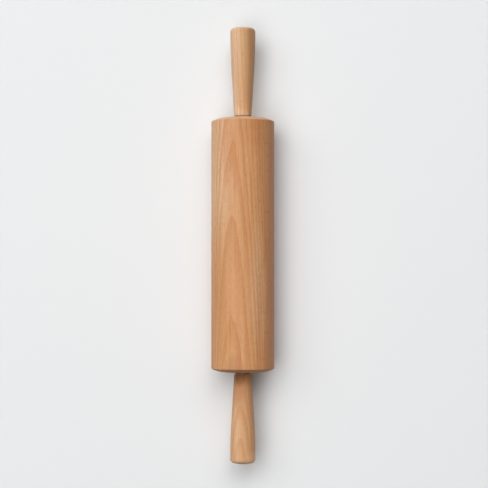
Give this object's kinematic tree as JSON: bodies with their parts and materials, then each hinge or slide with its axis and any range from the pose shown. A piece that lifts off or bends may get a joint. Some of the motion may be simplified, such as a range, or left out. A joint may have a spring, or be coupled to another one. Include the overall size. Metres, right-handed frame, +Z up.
{
  "type": "rolling pin",
  "caption": "Beech rolling pin: a round roller with slightly domed ends turns on ball bearings round a steel axle, with a turned handle that swells from neck to grip at each end.",
  "frame": {"origin": "on the axle's centreline, half way along the roller", "axes": "+X along the axle from the left handle to the right handle, +Z up, +Y away from the cook"},
  "size_m": [0.4374, 0.063, 0.063],
  "materials": {
    "roller_beech": "oiled satin",
    "handle_beech": "oiled satin",
    "cup_nylon": "moulded natural nylon",
    "cage_nylon": "moulded natural nylon",
    "washer_phenolic": "machined cloth laminate",
    "axle_steel": "drawn stainless",
    "bearing_steel": "ground",
    "ball_steel": "polished",
    "ring_steel": "phosphated spring steel",
    "insert_brass": "turned"
  },
  "bodies": {
    "axle_and_handles": {"axle_rod": "axle_steel", "left_handle": "handle_beech", "right_handle": "handle_beech", "left_handle_insert": "insert_brass", "right_handle_insert": "insert_brass", "left_thrust_washer": "washer_phenolic", "right_thrust_washer": "washer_phenolic", "left_retaining_ring": "ring_steel", "right_retaining_ring": "ring_steel", "left_inner_race": "bearing_steel", "right_inner_race": "bearing_steel"},
    "roller": {"roller_barrel": "roller_beech", "left_bearing_cup": "cup_nylon", "right_bearing_cup": "cup_nylon", "left_outer_race": "bearing_steel", "right_outer_race": "bearing_steel", "left_inner_shield": "bearing_steel", "left_outer_shield": "bearing_steel", "right_inner_shield": "bearing_steel", "right_outer_shield": "bearing_steel"},
    "left_ball_set": {"left_bearing_cage": "cage_nylon", "left_bearing_balls": "ball_steel"},
    "right_ball_set": {"right_bearing_cage": "cage_nylon", "right_bearing_balls": "ball_steel"}
  },
  "joints": [
    {"name": "roller_spin", "type": "hinge", "parent": "axle_and_handles", "child": "roller", "pos_m": [0, 0, 0], "axis": [1, 0, 0], "continuous": true},
    {"name": "left_balls_orbit", "type": "hinge", "parent": "axle_and_handles", "child": "left_ball_set", "pos_m": [-0.123, 0, 0], "axis": [1, 0, 0], "continuous": true},
    {"name": "right_balls_orbit", "type": "hinge", "parent": "axle_and_handles", "child": "right_ball_set", "pos_m": [0.123, 0, 0], "axis": [1, 0, 0], "continuous": true}
  ],
  "couplings": [
    {"joint": "left_balls_orbit", "follows": "roller_spin", "ratio": 0.6323},
    {"joint": "right_balls_orbit", "follows": "roller_spin", "ratio": 0.6323}
  ]
}
